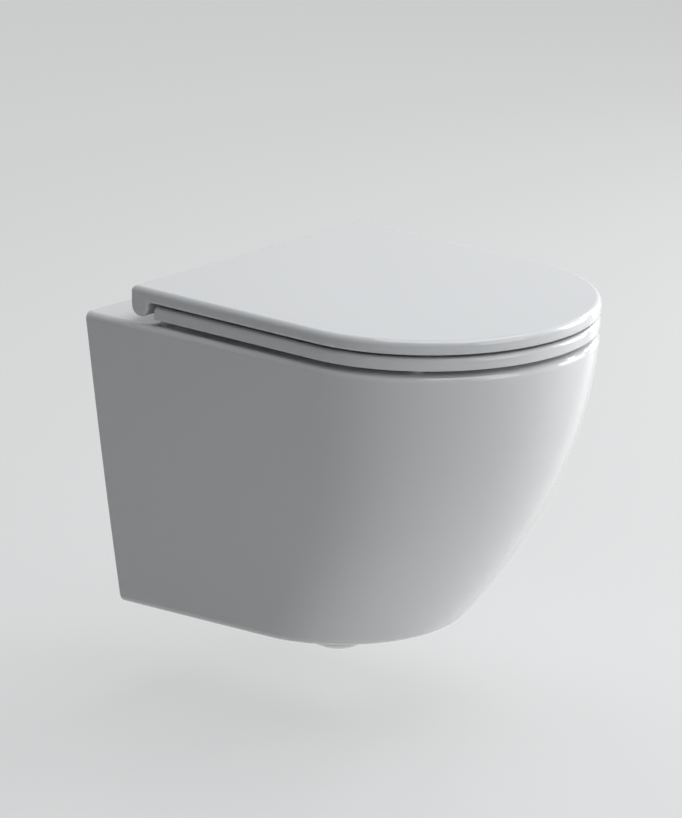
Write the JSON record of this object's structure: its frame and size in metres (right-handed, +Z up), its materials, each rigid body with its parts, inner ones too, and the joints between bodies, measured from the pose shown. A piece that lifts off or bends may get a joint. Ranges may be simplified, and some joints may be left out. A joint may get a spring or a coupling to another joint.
{
  "type": "wall hung toilet",
  "caption": "Wall hung toilet pan with a tapered ceramic shroud, an open bowl and trap, and a thin hinged seat and lid that close slowly.",
  "frame": {"origin": "midway between the two wall fixings, in the plane of the pan's back face", "axes": "+Z up, +Y into the wall, -Y out into the room, +X to the right of somebody who faces the wall; X = 0 is the plane of symmetry of the pan, seat and lid"},
  "size_m": [0.3728, 0.552, 0.407],
  "materials": {
    "glazed_ceramic": "glossy white glaze",
    "white_duroplast": "glossy white thermoset",
    "soft_buffer": "pale translucent rubber",
    "black_rubber": "matte black",
    "hinge_metal": "polished",
    "zinc_steel": "zinc plated",
    "sleeve_plastic": "white nylon",
    "damper_plastic": "grey acetal"
  },
  "bodies": {
    "pan": {"pan": "glazed_ceramic", "wall_studs": "zinc_steel", "stud_sleeves": "sleeve_plastic", "stud_washers": "zinc_steel", "stud_nuts": "zinc_steel", "flush_seal": "black_rubber", "hinge_arm_left": "hinge_metal", "hinge_arm_right": "hinge_metal", "hinge_gasket_left": "soft_buffer", "hinge_gasket_right": "soft_buffer", "hinge_bolt_left": "hinge_metal", "hinge_bolt_right": "hinge_metal", "hinge_plug_left": "black_rubber", "hinge_plug_right": "black_rubber", "hinge_nut_left": "zinc_steel", "hinge_nut_right": "zinc_steel", "hinge_pin_left": "hinge_metal", "hinge_pin_right": "hinge_metal"},
    "seat": {"seat": "white_duroplast", "seat_damper": "damper_plastic", "seat_bush": "damper_plastic", "seat_buffer_front_left": "soft_buffer", "seat_buffer_front_right": "soft_buffer", "seat_buffer_rear_left": "soft_buffer", "seat_buffer_rear_right": "soft_buffer"},
    "lid": {"lid": "white_duroplast", "lid_damper": "damper_plastic", "lid_bush": "damper_plastic", "lid_buffer_front_left": "soft_buffer", "lid_buffer_front_right": "soft_buffer", "lid_buffer_rear_left": "soft_buffer", "lid_buffer_rear_right": "soft_buffer"}
  },
  "joints": [
    {"name": "seat_hinge", "type": "hinge", "parent": "pan", "child": "seat", "pos_m": [0, -0.069, 0.1015], "axis": [-1, 0, 0], "range_deg": [0, 93]},
    {"name": "lid_hinge", "type": "hinge", "parent": "seat", "child": "lid", "pos_m": [0, -0.069, 0.1015], "axis": [-1, 0, 0], "range_deg": [0, 88]}
  ]
}
